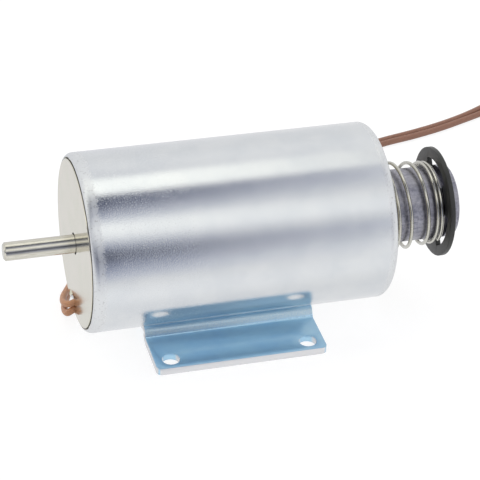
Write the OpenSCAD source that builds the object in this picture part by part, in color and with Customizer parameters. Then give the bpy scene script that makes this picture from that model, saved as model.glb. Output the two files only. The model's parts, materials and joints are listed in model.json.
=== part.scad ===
// Tubular push pull solenoid on a welded foot bracket.
// +X runs along the plunger axis towards the pull end, +Z is up.
// The origin is the centre of the four foot holes, on the face the foot stands on.

/* [Casing] */
// Outside diameter of the casing tube
tube_d = 38.1; // [32:0.1:44]
// Length of the casing tube over both rolled rims
tube_l = 65.7; // [60:0.1:80]
// Wall of the casing tube
tube_wall = 1.2; // [0.8:0.1:1.6]
// Inside radius of the rolled rims
rim_in_r = 0.4; // [0.3:0.05:0.8]
// Angle that each rim is rolled inwards
rim_angle = 60; // [45:1:70]
// Thickness of both end discs
disc_t = 3.2; // [2.4:0.1:4]
// How deep both end discs sit behind the rims
disc_recess = 1.1; // [1.0:0.05:1.6]
// Chamfer round the outer edge of the end discs
disc_chamfer = 0.4; // [0.3:0.05:0.6]

/* [Lead outlet] */
// Width of the U shaped outlet at the edge of the front disc
outlet_w = 6.4; // [5:0.1:7]
// Height of the outlet's round end below the casing axis
outlet_drop = 17.0; // [16:0.1:17.4]
// Sideways place of the outlet
outlet_y = 2.2; // [1.5:0.1:3]
// How far the outlet cuts into the rolled rim
outlet_depth = 1.8; // [1.4:0.1:2.6]

/* [Foot] */
// Height of the casing axis above the foot's resting face
axis_h = 21.6; // [21:0.1:26]
// Length of the foot along the casing
foot_l = 37.2; // [34:0.1:44]
// Width of the foot over both flanges
foot_w = 41.2; // [38:0.1:50]
// Sheet thickness of the foot
foot_t = 1.6; // [1.2:0.1:2]
// Half width at which each web meets its flange
web_y = 9.5; // [9:0.1:11]
// Lean of each web from the flange plane
web_angle = 68; // [60:1:80]
// Inside radius of the bend where the saddle turns into the web
ridge_in_r = 0.4; // [0.2:0.05:0.6]
// Inside radius of the bend where the web turns into the flange
heel_in_r = 0.6; // [0.3:0.05:1]
// Radius at the corners of the flanges
foot_corner = 1.2; // [0.5:0.1:2]
// Distance of the hole centres from the foot's ends
hole_end = 3.6; // [3:0.1:6]
// Distance of the hole centres from the flanges' long edges
hole_edge = 3.1; // [2.8:0.1:4]
// Diameter of the foot holes
hole_d = 3.8; // [3:0.1:4.5]
// How far the casing is shifted towards the pull end from the foot's centre
casing_shift = 0.45; // [-2:0.05:2]

/* [Plunger and rod] */
// Diameter of the plunger
plunger_d = 15.875; // [14:0.005:16.2]
// How far the plunger's end stands out of the rear rim at rest
plunger_out = 17.8; // [17:0.1:22]
// Rounding of the plunger's outer end
plunger_edge = 0.8; // [0.3:0.1:1.2]
// Stroke from rest to fully pulled in
stroke = 10; // [4:0.1:10]
// Diameter of the push rod
rod_d = 3.97; // [3.5:0.01:5]
// How far the push rod stands out of the front disc at rest
rod_out = 15.7; // [10:0.1:25]
// Depth of the push rod in the plunger
rod_grip = 12; // [8:0.1:16]
// Chamfer at the push rod's tip
rod_chamfer = 0.4; // [0.2:0.05:0.8]
// Minor diameter of the tapped hole in the plunger's outer end
tap_d = 4.2; // [3.2:0.1:5]
// Depth of the tapped hole
tap_depth = 10; // [6:0.1:12]
// Chamfer at the mouth of the tapped hole
tap_chamfer = 0.5; // [0.3:0.1:0.8]
// Diameter of the flat nose of the plunger's cone
nose_d = 9; // [8:0.1:10]
// Length of the plunger's cone
cone_l = 5; // [3:0.1:6]
// Distance from the plunger's outer end to the retaining ring
ring_inset = 2.6; // [2:0.1:4]

/* [Retaining ring] */
// Outside diameter of the retaining ring
ring_d = 23.9; // [22:0.1:26]
// Thickness of the retaining ring
ring_t = 1.07; // [0.9:0.01:1.3]
// Diameter of the groove in the plunger
groove_d = 12.32; // [12:0.01:13]
// Outer diameter of the two pockets in the ring
pocket_d = 19.4; // [18:0.1:20]
// Turn of the ring's middle lug from straight up towards the front side
ring_turn = 58; // [0:1:90]

// Half angle of the ring's middle lug
mid_lug = 22; // [15:1:30]
// Angle at which each end lug starts, from the middle of the ring's closed side
end_lug = 90; // [80:1:100]
// Angle at which each arm of the ring ends
arm_end = 132; // [120:1:140]
// How far the lugs reach under the ring's band
lug_root = 0.5; // [0.3:0.1:0.8]

/* [Return spring] */
// Wire diameter of the return spring
wire_d = 0.8; // [0.6:0.05:0.9]
// Mean diameter of the large coil on the casing
spring_big_d = 19.8; // [19:0.1:21]
// Mean diameter of the small coil at the retaining ring
spring_small_d = 17.2; // [17.1:0.1:17.6]

// Number of turns
spring_turns = 5.6; // [5.5:0.05:5.9]
// Angle of the wire's end at the ring, from straight up towards the front side
spring_end_angle = 130; // [0:1:180]

/* [Pole piece and guide] */
// Length of the pole piece behind the front disc
pole_l = 20; // [16:0.1:22]
// Diameter of the spigot that locates the pole piece in the front disc
spigot_d = 10; // [8:0.1:12]
// Depth of that spigot
spigot_l = 1.6; // [1:0.1:2]
// Wall of the brass guide tube
guide_wall = 0.5; // [0.4:0.05:0.8]
// How far the guide tube reaches over the pole piece
guide_grip = 8; // [5:0.1:12]
// Broken edge of the pole piece
pole_chamfer = 0.2; // [0.1:0.05:0.4]
// Outside diameter of the rod bush
bush_d = 6.5; // [6:0.1:8]
// Length of the rod bush
bush_l = 9; // [6:0.1:12]
// Thickness of the residual washer in the pole piece's seat
washer_t = 0.5; // [0.3:0.05:0.8]

/* [Coil] */
// Length of the wiring space between the front disc and the bobbin
wiring_l = 4.5; // [4.5:0.1:6]
// Wall of the bobbin's core
core_wall = 1.0; // [0.8:0.1:1.4]
// Thickness of the bobbin's flanges
flange_t = 1.5; // [1.2:0.1:2]
// Outside diameter of the winding
winding_d = 32.6; // [28:0.1:32.8]
// Thickness of the tape over the winding
tape_t = 0.3; // [0.2:0.05:0.4]
// Thickness of the fibre washer between the bobbin and the rear disc
fibre_t = 0.5; // [0.4:0.1:1]

/* [Leads] */
// Outside diameter of each lead
lead_d = 1.5; // [1.2:0.05:1.55]
// Diameter of the splice sleeves
sleeve_d = 2.6; // [2.2:0.1:3]
// Length of the splice sleeves
sleeve_l = 7; // [5:0.1:8]
// Diameter of the coil's tails and of the stripped lead ends
tail_d = 0.8; // [0.5:0.1:1]
// Length of the stripped lead ends
strip_l = 6; // [4:0.5:8]

// Distance of each splice sleeve's inner end from the middle plane
sleeve_in_y = 5; // [4.5:0.1:6]
// Height of the splices above the foot's resting face
tail_z = 10.8; // [10:0.1:12]

/* [Clearances] */
// Radial gap of pressed joints
press_gap = 0.02; // [0.01:0.005:0.03]
// Radial running gap of the plunger in its guide tube and of the rod in its bush
run_gap = 0.05; // [0.03:0.01:0.08]
// Radial gap round the rod where it passes the front disc
rod_gap = 0.35; // [0.3:0.05:0.6]
// Radial gap between the ring's lugs and the plunger's groove
lug_gap = 0.08; // [0.05:0.01:0.1]
// Side gap of the ring in its groove
ring_side_gap = 0.05; // [0.03:0.01:0.08]
// Gap left between plunger and washer when fully pulled in
seat_gap = 0.2; // [0.2:0.05:0.5]

// Radial gap between the bobbin's flanges and the casing
flange_gap = 0.4; // [0.2:0.05:0.6]
// Gap between each lead's inner end and its splice sleeve
splice_gap = 0.05; // [0.03:0.01:0.1]

/* [Hidden] */
$fn = 96;
// How far a cutting shape reaches past what it cuts.
cut = 1;
// Sides of the swept wires, and points along the spring.
wire_sides = 8;
spring_steps = 112;

// A vector of length one.
function unit(v) = v / norm(v);

tube_r = tube_d / 2;
bore_r = tube_r - tube_wall;
rim_r = rim_in_r + tube_wall;
rim_centre_r = tube_r - rim_r;
rim_run = rim_r * sin(rim_angle);
front_x = casing_shift - tube_l / 2;
rear_x = casing_shift + tube_l / 2;
disc_r = bore_r - press_gap;
front_face_x = front_x + disc_recess;
front_back_x = front_face_x + disc_t;
rear_face_x = rear_x - disc_recess;
rear_back_x = rear_face_x - disc_t;

plunger_r = plunger_d / 2;
plunger_end_x = rear_x + plunger_out;
pole_end_x = front_back_x + pole_l;
seat_x = pole_end_x - cone_l;
nose_x = seat_x + washer_t + seat_gap + stroke;
ring_x = plunger_end_x - ring_inset - ring_t;
lug_r = groove_d / 2 + lug_gap;
rod_r = rod_d / 2;
rod_tip_x = front_face_x - rod_out;
rod_end_x = nose_x + rod_grip;

guide_r = plunger_r + run_gap;
guide_out_r = guide_r + guide_wall;
pole_r = guide_r - press_gap;
guide_start_x = pole_end_x - guide_grip;
core_r = guide_out_r + press_gap + core_wall;
bobbin_x = front_back_x + wiring_l;
bobbin_end_x = rear_back_x - fibre_t;
flange_r = bore_r - flange_gap;
winding_r = winding_d / 2;

// A solid turned about the casing axis from a profile of (radius, x).
module turned() {
    translate([0, 0, axis_h]) rotate([0, 90, 0]) rotate_extrude() children();
}
// A rectangle of a turned profile, from radius r1 to r2 and from x1 to x2.
module band(r1, r2, x1, x2) {
    translate([r1, x1]) square([r2 - r1, x2 - x1]);
}
// A straight hole or pin along the casing axis direction.
module along(d, x1, x2, y = 0, z = axis_h) {
    translate([x1, y, z]) rotate([0, 90, 0]) cylinder(d = d, h = x2 - x1);
}

// ---- casing ----
// The space enclosed by one face of the wall: a rim's bend of radius r at each end.
module casing_space(wall_r, r) {
    band(0, wall_r, front_x + rim_run, rear_x - rim_run);
    for (x = [front_x + rim_run, rear_x - rim_run])
        translate([rim_centre_r, x]) circle(r);
}
// The mouth inside a rolled rim, cut along the end of its bend.
module rim_mouth() {
    reach = rim_centre_r;
    translate([rim_centre_r, front_x + rim_run])
        polygon([[0, 0], [reach * cos(rim_angle), -reach * sin(rim_angle)], [-reach, -reach],
            [-reach, rim_in_r], [0, rim_in_r]]);
}
module casing_profile() {
    difference() {
        casing_space(tube_r, rim_r);
        casing_space(bore_r, rim_in_r);
        rim_mouth();
        translate([0, 2 * casing_shift]) mirror([0, 1]) rim_mouth();
    }
}
// The U shaped way out for the leads, open at the casing's edge.
module outlet(x1, x2) {
    translate([x1, outlet_y, axis_h - outlet_drop]) rotate([0, 90, 0])
        cylinder(d = outlet_w, h = x2 - x1);
    translate([x1, outlet_y - outlet_w / 2, axis_h - outlet_drop - tube_r])
        cube([x2 - x1, outlet_w, tube_r]);
}
module casing_tube() {
    color("lightsteelblue") difference() {
        turned() casing_profile();
        outlet(front_x - cut, front_x + outlet_depth);
    }
}

// ---- foot bracket ----
// The sheet follows the tube as a saddle, turns over a ridge on each side, goes down a web
// and turns out into a flange. Sections are drawn in (y, z), one half on the -Y side.
saddle_out_r = tube_r + foot_t;
ridge_r = ridge_in_r + foot_t;
web_n = [-sin(web_angle), cos(web_angle)];
web_d = [cos(web_angle), sin(web_angle)];
web_foot = [-web_y, foot_t];
// The ridge bend touches the tube and the web: its centre is ridge_r from both.
ridge_from = web_foot - web_n * ridge_r - [0, axis_h];
ridge_along = ridge_from * web_d;
ridge_gap = ridge_from * ridge_from - pow(tube_r + ridge_r, 2);
ridge_centre = web_foot - web_n * ridge_r
    + web_d * (-ridge_along - sqrt(pow(ridge_along, 2) - ridge_gap));
saddle_n = unit(ridge_centre - [0, axis_h]);
heel_centre = web_foot + heel_in_r * [-tan(web_angle / 2), 1];
heel_r = heel_in_r + foot_t;

// Points along an arc, and an outline turned over to the other side.
function arc(centre, r, a1, a2, steps) =
    [for (i = [0:steps]) let (a = a1 + (a2 - a1) * i / steps) centre + r * [cos(a), sin(a)]];
function flip(points) = [for (i = [len(points) - 1:-1:0]) [-points[i][0], points[i][1]]];

module foot_section() {
    tilt = atan2(-saddle_n[0], -saddle_n[1]);
    bend_steps = 12;
    saddle_steps = 20;
    upper = concat([[-foot_w / 2, 0], [-foot_w / 2, foot_t]],
        arc(heel_centre, heel_in_r, -90, web_angle - 90, bend_steps),
        arc(ridge_centre, ridge_r, 90 + web_angle, 90 - tilt, bend_steps));
    lower = concat(arc(ridge_centre, ridge_in_r, 90 - tilt, 90 + web_angle, bend_steps),
        arc(heel_centre, heel_r, web_angle - 90, -90, bend_steps));
    axis = [0, axis_h];
    polygon(concat(upper,
        arc(axis, tube_r, 271 - tilt, 269 + tilt, saddle_steps), flip(upper), flip(lower),
        arc(axis, saddle_out_r, 269 + tilt, 271 - tilt, saddle_steps), lower));
}
// The outline of the foot seen from above, with its four corners rounded.
module foot_plan() {
    c = foot_corner;
    square([foot_l, foot_w - 2 * c], center = true);
    square([foot_l - 2 * c, foot_w], center = true);
    for (sx = [-1, 1], sy = [-1, 1])
        translate([sx * (foot_l / 2 - c), sy * (foot_w / 2 - c)]) circle(c);
}
module foot_bracket() {
    color("steelblue") difference() {
        intersection() {
            translate([-foot_l / 2 - cut, 0, 0]) rotate([90, 0, 90])
                linear_extrude(foot_l + 2 * cut) foot_section();
            linear_extrude(axis_h) foot_plan();
        }
        for (sx = [-1, 1], sy = [-1, 1])
            translate([sx * (foot_l / 2 - hole_end), sy * (foot_w / 2 - hole_edge), -cut])
                cylinder(d = hole_d, h = foot_t + 2 * cut);
    }
}

// ---- end discs ----
module front_disc() {
    color("gainsboro") difference() {
        turned() polygon([[rod_r + rod_gap, front_face_x],
            [disc_r - disc_chamfer, front_face_x], [disc_r, front_face_x + disc_chamfer],
            [disc_r, front_back_x], [spigot_d / 2 + press_gap, front_back_x],
            [spigot_d / 2 + press_gap, front_back_x - spigot_l],
            [rod_r + rod_gap, front_back_x - spigot_l]]);
        outlet(front_face_x - cut, front_back_x + cut);
    }
}
module rear_disc() {
    color("gainsboro") turned() polygon([[guide_out_r + press_gap, rear_back_x], [disc_r, rear_back_x],
        [disc_r, rear_face_x - disc_chamfer], [disc_r - disc_chamfer, rear_face_x],
        [guide_out_r + press_gap, rear_face_x]]);
}

// ---- magnetic core, guide and coil ----
module pole_piece() {
    bush_hole_r = bush_d / 2 + press_gap;
    bush_end_x = front_back_x + bush_l;
    passage_r = rod_r + rod_gap;
    color("silver") turned() polygon([[passage_r, front_back_x - spigot_l],
        [spigot_d / 2, front_back_x - spigot_l], [spigot_d / 2, front_back_x],
        [pole_r, front_back_x], [pole_r, pole_end_x - pole_chamfer],
        [pole_r - pole_chamfer, pole_end_x],
        [nose_d / 2, seat_x + washer_t], [nose_d / 2, seat_x], [passage_r, seat_x],
        [passage_r, bush_end_x], [bush_hole_r, bush_end_x],
        [bush_hole_r, front_back_x], [passage_r, front_back_x]]);
}
module residual_washer() {
    color("white") turned() band(rod_r + rod_gap, nose_d / 2 - press_gap, seat_x, seat_x + washer_t);
}
module rod_bush() {
    color("peru") turned() band(rod_r + run_gap, bush_d / 2, front_back_x, front_back_x + bush_l);
}
module guide_tube() {
    color("goldenrod") turned() band(guide_r, guide_out_r, guide_start_x, rear_face_x);
}
module coil_bobbin() {
    color("ivory") difference() {
        turned() {
            band(guide_out_r + press_gap, core_r, bobbin_x, bobbin_end_x);
            band(guide_out_r + press_gap, flange_r, bobbin_x, bobbin_x + flange_t);
            band(guide_out_r + press_gap, flange_r, bobbin_end_x - flange_t, bobbin_end_x);
        }
        for (s = [-1, 1])
            along(tail_d + 2 * press_gap, bobbin_x - cut, bobbin_x + flange_t + cut,
                tail_y(s), tail_z);
    }
}
module coil_winding() {
    color("sienna") turned() band(core_r + press_gap, winding_r, bobbin_x + flange_t, bobbin_end_x - flange_t);
}
module coil_tape() {
    color("khaki") turned() band(winding_r + press_gap, winding_r + tape_t,
        bobbin_x + flange_t, bobbin_end_x - flange_t);
}
module fibre_washer() {
    color("dimgray") turned() band(guide_out_r + 2 * press_gap, flange_r, bobbin_end_x, rear_back_x);
}

// ---- splices and leads ----
sleeve_x = front_back_x + wiring_l / 2;
function tail_y(s) = s * (sleeve_in_y + sleeve_l - 2 * tail_d);

module splice_sleeve(s) {
    color("gray") translate([sleeve_x, s * sleeve_in_y, tail_z]) rotate([-s * 90, 0, 0])
        cylinder(d = sleeve_d, h = sleeve_l);
}
module splice_sleeve_a() { splice_sleeve(-1); }
module splice_sleeve_b() { splice_sleeve(1); }
module coil_tails() {
    for (s = [-1, 1])
        color("peru") along(tail_d, sleeve_x + sleeve_d / 2, bobbin_x + flange_t, tail_y(s), tail_z);
}

// Route of each lead's centre line, from its splice to its free end.
lead_a = [[sleeve_x, splice_gap - sleeve_in_y, tail_z],
    [-26, -4.2, 10.8], [-26.2, -2.6, 10.3], [-26.6, -0.8, 8.6], [-27.5, 1.3, 6.7],
    [-29.2, 1.1, 6.25], [-31.2, 0.9, 6.05], [-32.6, 1, 5.5], [-33.3, 1.9, 5], [-33.6, 3.4, 4.4],
    [-33.4, 5.2, 3.9], [-32.9, 7, 3.5], [-32.1, 8.8, 3.1], [-30.8, 11.4, 2.6], [-28.7, 14.8, 2],
    [-25.6, 19, 1.3], [-21.4, 23.4, 0.75], [-15, 27.6, 0.75], [-6, 31.6, 0.75], [6, 36, 0.75],
    [18, 40.7, 0.75], [30, 46.4, 0.75], [42, 52.2, 0.75], [51, 56.2, 0.75], [58, 58.5, 0.75],
    [66, 60.8, 0.75], [74, 63.2, 0.75], [82, 65.8, 0.75], [90, 68.6, 0.75], [100, 71.6, 0.75],
    [112, 73.4, 0.75], [124, 73, 0.75], [135, 70, 0.75], [145, 65, 0.75]];
lead_b = [[sleeve_x, sleeve_in_y - splice_gap, tail_z],
    [-26, 4.2, 10.75], [-26.05, 3.5, 10.2], [-26.2, 3.1, 9.2], [-26.6, 2.8, 7.5],
    [-27.5, 2.4, 5.2], [-29.2, 1.3, 4.5], [-31.2, 0.8, 4.4], [-32.6, 0.7, 3.8], [-33.2, 1.3, 3],
    [-33.4, 2.8, 2.4], [-33.2, 4.8, 1.9], [-32.7, 6.8, 1.5], [-31.9, 9.2, 1.1], [-30.6, 13, 0.75],
    [-28.9, 17.2, 0.75], [-26, 22.2, 0.75], [-21.8, 27, 0.75], [-15, 31, 0.75], [-6, 34.4, 0.75],
    [6, 38.4, 0.75], [18, 43, 0.75], [30, 48.7, 0.75], [42, 54.5, 0.75], [51, 58.5, 0.75],
    [58, 60.8, 0.75], [66, 63.4, 0.75], [74, 66.5, 0.75], [82, 70.2, 0.75], [90, 74.4, 0.75],
    [99, 78.8, 0.75], [110, 82.6, 0.75], [122, 84.4, 0.75], [134, 83.6, 0.75], [145, 80.6, 0.75]];

// Direction of a route at its point i.
function heading(route, i) = unit(route[min(i + 1, len(route) - 1)] - route[max(i - 1, 0)]);
// Ring of side points round point i, square to the route.
function lead_ring(route, i, d, sides) =
    let (t = heading(route, i), u = unit(cross(t, [0.3, 0, 1])), v = cross(t, u))
    [for (k = [0:sides - 1]) route[i] + d / 2 * (cos(360 * k / sides) * u + sin(360 * k / sides) * v)];
// A closed tube swept along a route.
module swept(route, d, sides) {
    n = len(route);
    points = [for (i = [0:n - 1]) each lead_ring(route, i, d, sides)];
    skin = [for (i = [0:n - 2], k = [0:sides - 1])
        let (a = i * sides + k, b = i * sides + (k + 1) % sides)
        each [[a, b, b + sides], [a, b + sides, a + sides]]];
    first = [for (k = [0:sides - 1]) sides - 1 - k];
    last = [for (k = [0:sides - 1]) (n - 1) * sides + k];
    polyhedron(points, concat([first], skin, [last]));
}
module lead_wire_a() { color("saddlebrown") swept(lead_a, lead_d, wire_sides); }
module lead_wire_b() { color("saddlebrown") swept(lead_b, lead_d, wire_sides); }
// The stripped, tinned end that a route finishes in.
module lead_tip(route) {
    last = len(route) - 1;
    t = unit(route[last] - route[last - 1]);
    translate(route[last]) rotate([0, 90, atan2(t[1], t[0])]) cylinder(d = tail_d, h = strip_l);
}
module lead_tips() {
    color("silver") {
        lead_tip(lead_a);
        lead_tip(lead_b);
    }
}

// ---- moving parts ----
module plunger() {
    groove_r = groove_d / 2;
    groove_x = ring_x - ring_side_gap;
    groove_end_x = ring_x + ring_t + ring_side_gap;
    e = plunger_edge;
    color("slategray") turned() difference() {
        union() {
            polygon([[0, nose_x], [nose_d / 2, nose_x], [plunger_r, nose_x + cone_l],
                [plunger_r, plunger_end_x - e], [plunger_r - e, plunger_end_x - e],
                [plunger_r - e, plunger_end_x], [0, plunger_end_x]]);
            intersection() {
                translate([plunger_r - e, plunger_end_x - e]) circle(e);
                band(0, plunger_r, plunger_end_x - e, plunger_end_x);
            }
        }
        band(groove_r, plunger_r + cut, groove_x, groove_end_x);
        band(-cut, rod_r + press_gap, nose_x - cut, rod_end_x + press_gap);
        polygon([[-cut, plunger_end_x + cut], [-cut, plunger_end_x - tap_depth],
            [tap_d / 2, plunger_end_x - tap_depth], [tap_d / 2, plunger_end_x - tap_chamfer],
            [tap_d / 2 + tap_chamfer, plunger_end_x],
            [tap_d / 2 + tap_chamfer, plunger_end_x + cut]]);
    }
}
module push_rod() {
    c = rod_chamfer;
    color("lightgray") turned() polygon([[0, rod_tip_x], [rod_r - c, rod_tip_x], [rod_r, rod_tip_x + c],
        [rod_r, rod_end_x - c], [rod_r - c, rod_end_x], [0, rod_end_x]]);
}

// A wedge between two angles, wide enough for the ring.
module wedge(a1, a2) {
    steps = 6;
    polygon([[0, 0], for (i = [0:steps]) ring_d * [cos(a1 + (a2 - a1) * i / steps),
        sin(a1 + (a2 - a1) * i / steps)]]);
}
module ring_shape() {
    ring_r = ring_d / 2;
    intersection() {
        difference() {
            circle(ring_r);
            circle(pocket_d / 2);
        }
        union() {
            wedge(-arm_end, 0);
            wedge(0, arm_end);
        }
    }
    for (a = [[-mid_lug, mid_lug], [end_lug, arm_end], [-arm_end, -end_lug]])
        intersection() {
            difference() {
                circle(pocket_d / 2 + lug_root);
                circle(lug_r);
            }
            wedge(a[0], a[1]);
        }
}
module retaining_ring() {
    color("dimgray") translate([ring_x, 0, axis_h]) rotate([0, 90, 0])
        rotate(180 + ring_turn) linear_extrude(ring_t) ring_shape();
}

// Place along the spring, in turns, against the share of its length covered there.
spring_x1 = rear_face_x + wire_d / 2;
spring_x2 = ring_x - wire_d / 2;
turn_knots = [0, 0.36, 1.36, 2.36, 3.36, 4.36, 5.36, spring_turns];
share_knots = [0, 0.05, 0.267, 0.454, 0.735, 0.897, 0.963, 1];
function between(t, i = 0) = t <= turn_knots[i + 1] || i >= len(turn_knots) - 2
    ? share_knots[i] + (share_knots[i + 1] - share_knots[i])
        * (t - turn_knots[i]) / (turn_knots[i + 1] - turn_knots[i])
    : between(t, i + 1);
function spring_point(t) =
    let (s = between(t), a = spring_end_angle + 360 * (t - spring_turns),
        r = (spring_big_d + (spring_small_d - spring_big_d) * s) / 2)
    [spring_x1 + (spring_x2 - spring_x1) * s, -r * sin(a), axis_h + r * cos(a)];
module return_spring() {
    color("khaki") swept([for (i = [0:spring_steps])
        spring_point(spring_turns * i / spring_steps)], wire_d, wire_sides);
}

casing_tube();
foot_bracket();
front_disc();
rear_disc();
pole_piece();
residual_washer();
rod_bush();
guide_tube();
coil_bobbin();
coil_winding();
coil_tape();
fibre_washer();
coil_tails();
splice_sleeve_a();
splice_sleeve_b();
lead_wire_a();
lead_wire_b();
lead_tips();
plunger();
push_rod();
retaining_ring();
return_spring();
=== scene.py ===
# %% [markdown]
# # A push pull solenoid, dressed piece by piece
# A tubular solenoid is a coil in a steel tube. When current flows, the coil pulls a plunger in
# at one end and a thin rod pushes out at the other; a spring brings both back.
# The solids come from the CAD model as a fixed frame. This lesson gives each one its finish,
# and replaces the shapes that need a finer mesh than a CAD file carries.

# %% Load the frame
import json
import math

import bmesh
import bpy
from mathutils import Matrix, Vector

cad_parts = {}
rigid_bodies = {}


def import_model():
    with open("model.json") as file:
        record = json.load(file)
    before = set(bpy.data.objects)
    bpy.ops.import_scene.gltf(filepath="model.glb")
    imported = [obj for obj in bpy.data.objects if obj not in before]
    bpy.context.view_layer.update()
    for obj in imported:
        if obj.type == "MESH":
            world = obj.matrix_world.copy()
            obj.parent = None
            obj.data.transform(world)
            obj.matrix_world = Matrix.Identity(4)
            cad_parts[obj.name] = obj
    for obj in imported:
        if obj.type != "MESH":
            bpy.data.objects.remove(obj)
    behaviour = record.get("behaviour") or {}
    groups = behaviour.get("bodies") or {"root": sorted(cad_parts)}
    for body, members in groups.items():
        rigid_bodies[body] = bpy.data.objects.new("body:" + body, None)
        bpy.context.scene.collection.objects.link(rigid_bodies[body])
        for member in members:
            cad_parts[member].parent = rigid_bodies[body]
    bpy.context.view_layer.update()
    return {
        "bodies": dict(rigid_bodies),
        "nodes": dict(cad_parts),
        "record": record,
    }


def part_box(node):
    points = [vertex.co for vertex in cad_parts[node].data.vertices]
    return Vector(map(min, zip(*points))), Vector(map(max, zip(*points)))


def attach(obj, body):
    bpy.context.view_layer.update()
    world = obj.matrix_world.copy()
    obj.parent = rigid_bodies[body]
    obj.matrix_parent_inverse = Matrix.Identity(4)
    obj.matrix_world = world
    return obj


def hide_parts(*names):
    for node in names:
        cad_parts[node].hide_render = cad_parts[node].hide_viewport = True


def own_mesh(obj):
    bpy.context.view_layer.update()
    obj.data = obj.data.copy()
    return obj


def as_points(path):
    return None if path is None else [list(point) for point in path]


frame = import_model()
MM = 0.001

# %% [markdown]
# The camera comes first, because everything is seen through it. It stands a little to the
# left of the middle, about 34 degrees above the object, with a long lens that keeps lines calm.
# A camera looks along its own -Z, so its matrix has the right, up and backward directions as
# columns.

# %% The camera
CAMERA_AT = Vector((-103.913, -356.618, 267.293)) * MM
CAMERA_RIGHT = Vector((0.96363, -0.26426, 0.03973))
CAMERA_UP = Vector((0.11558, 0.54619, 0.82965))
LENS_MM = 157.01


def placed_camera():
    data = bpy.data.cameras.new("studio camera")
    data.sensor_width = 36
    data.lens = LENS_MM
    data.clip_start = 0.01
    camera = bpy.data.objects.new("studio_camera", data)
    bpy.context.scene.collection.objects.link(camera)
    right = CAMERA_RIGHT.normalized()
    up = (CAMERA_UP - right * CAMERA_UP.dot(right)).normalized()
    turn = Matrix((right, up, right.cross(up))).transposed().to_4x4()
    camera.matrix_world = Matrix.Translation(CAMERA_AT) @ turn
    bpy.context.scene.camera = camera
    return camera


print("camera at", placed_camera().location)

# %% [markdown]
# Plain helpers come next. A mesh piece is made from points and faces, its normals are turned
# outwards, and its edges are sharp only where the surface really turns a corner.

# %% Mesh helpers
SHARP = math.radians(38)


def finished_mesh(piece, sharp=SHARP):
    for face in piece.data.polygons:
        face.use_smooth = True
    piece.data.set_sharp_from_angle(angle=sharp)
    return piece


def piece_from(name, points, faces, merge=1e-7, recalc=True):
    mesh = bpy.data.meshes.new(name)
    mesh.from_pydata([tuple(p) for p in points], [], faces)
    work = bmesh.new()
    work.from_mesh(mesh)
    bmesh.ops.remove_doubles(work, verts=work.verts, dist=merge)
    bmesh.ops.dissolve_degenerate(work, edges=work.edges, dist=merge)
    if recalc:
        bmesh.ops.recalc_face_normals(work, faces=work.faces)
    work.to_mesh(mesh)
    work.free()
    piece = bpy.data.objects.new(name, mesh)
    bpy.context.scene.collection.objects.link(piece)
    return finished_mesh(piece)


def applied(piece):
    """Turns a piece with modifiers into a plain mesh."""
    graph = bpy.context.evaluated_depsgraph_get()
    mesh = bpy.data.meshes.new_from_object(piece.evaluated_get(graph))
    piece.modifiers.clear()
    piece.data = mesh
    return finished_mesh(piece)


def cut(piece, cutter, how="DIFFERENCE"):
    step = piece.modifiers.new("cut", "BOOLEAN")
    step.operation = how
    step.solver = "EXACT"
    step.object = cutter
    applied(piece)
    bpy.data.objects.remove(cutter)
    return piece


def softened(piece, width, segments=2):
    """Breaks the sharp edges of a piece by a small rounded bevel."""
    step = piece.modifiers.new("soft edges", "BEVEL")
    step.width = width
    step.segments = segments
    step.limit_method = "ANGLE"
    step.angle_limit = SHARP
    return applied(piece)


# %% [markdown]
# Most of this object is round about one axis. A lathe turns an outline of (radius, place along
# the axis) all the way round, as a real lathe would cut it. Many steps round keep the wide
# reflections on polished metal free of facets.

# %% A lathe and a press
casing_lo, casing_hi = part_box("casing_tube")
AXIS_Z = (casing_lo.z + casing_hi.z) / 2
TUBE_R = (casing_hi.z - casing_lo.z) / 2
FRONT_X, REAR_X = casing_lo.x, casing_hi.x


def turned(name, outline, steps=192):
    points, faces = [], []
    for k in range(steps):
        a = 2 * math.pi * k / steps
        points += [(x, -r * math.sin(a), AXIS_Z + r * math.cos(a)) for r, x in outline]
    n = len(outline)
    for k in range(steps):
        here, there = k * n, (k + 1) % steps * n
        faces += [(here + i, here + (i + 1) % n, there + (i + 1) % n, there + i) for i in range(n)]
    return piece_from(name, points, faces)


def pressed(name, outline, place, lift):
    """A flat outline as a solid: place puts an outline point in space, lift is the thickness."""
    low = [place(*p) for p in outline]
    n = len(low)
    points = low + [p + lift for p in low]
    faces = [tuple(range(n)), tuple(range(n, 2 * n))]
    faces += [(i, (i + 1) % n, n + (i + 1) % n, n + i) for i in range(n)]
    return piece_from(name, points, faces)


def arc(centre, radius, start, end, steps):
    """Points of an arc in degrees, measured from the first axis towards the second."""
    turns = [math.radians(start + (end - start) * i / steps) for i in range(steps + 1)]
    return [(centre[0] + radius * math.cos(t), centre[1] + radius * math.sin(t)) for t in turns]


def rounded(outline, radius, steps=4, sharp=25):
    """Rounds the corners of a closed outline that turn by more than sharp degrees."""
    result = []
    for i, corner in enumerate(outline):
        p, a, b = Vector(corner), Vector(outline[i - 1]), Vector(outline[(i + 1) % len(outline)])
        u, v = a - p, b - p
        turn = math.pi - u.angle(v)
        r = min(radius, 0.45 * min(u.length, v.length) / max(math.tan(turn / 2), 1e-6))
        if turn < math.radians(sharp) or corner[0] == 0:
            result.append(corner)
            continue
        back = r * math.tan(turn / 2)
        start, end = p + u.normalized() * back, p + v.normalized() * back
        for k in range(steps + 1):
            t = k / steps
            result.append(tuple((1 - t) ** 2 * start + 2 * t * (1 - t) * p + t * t * end))
    return result


print("axis height", round(AXIS_Z / MM, 2), "mm, casing radius", round(TUBE_R / MM, 2), "mm")

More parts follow.
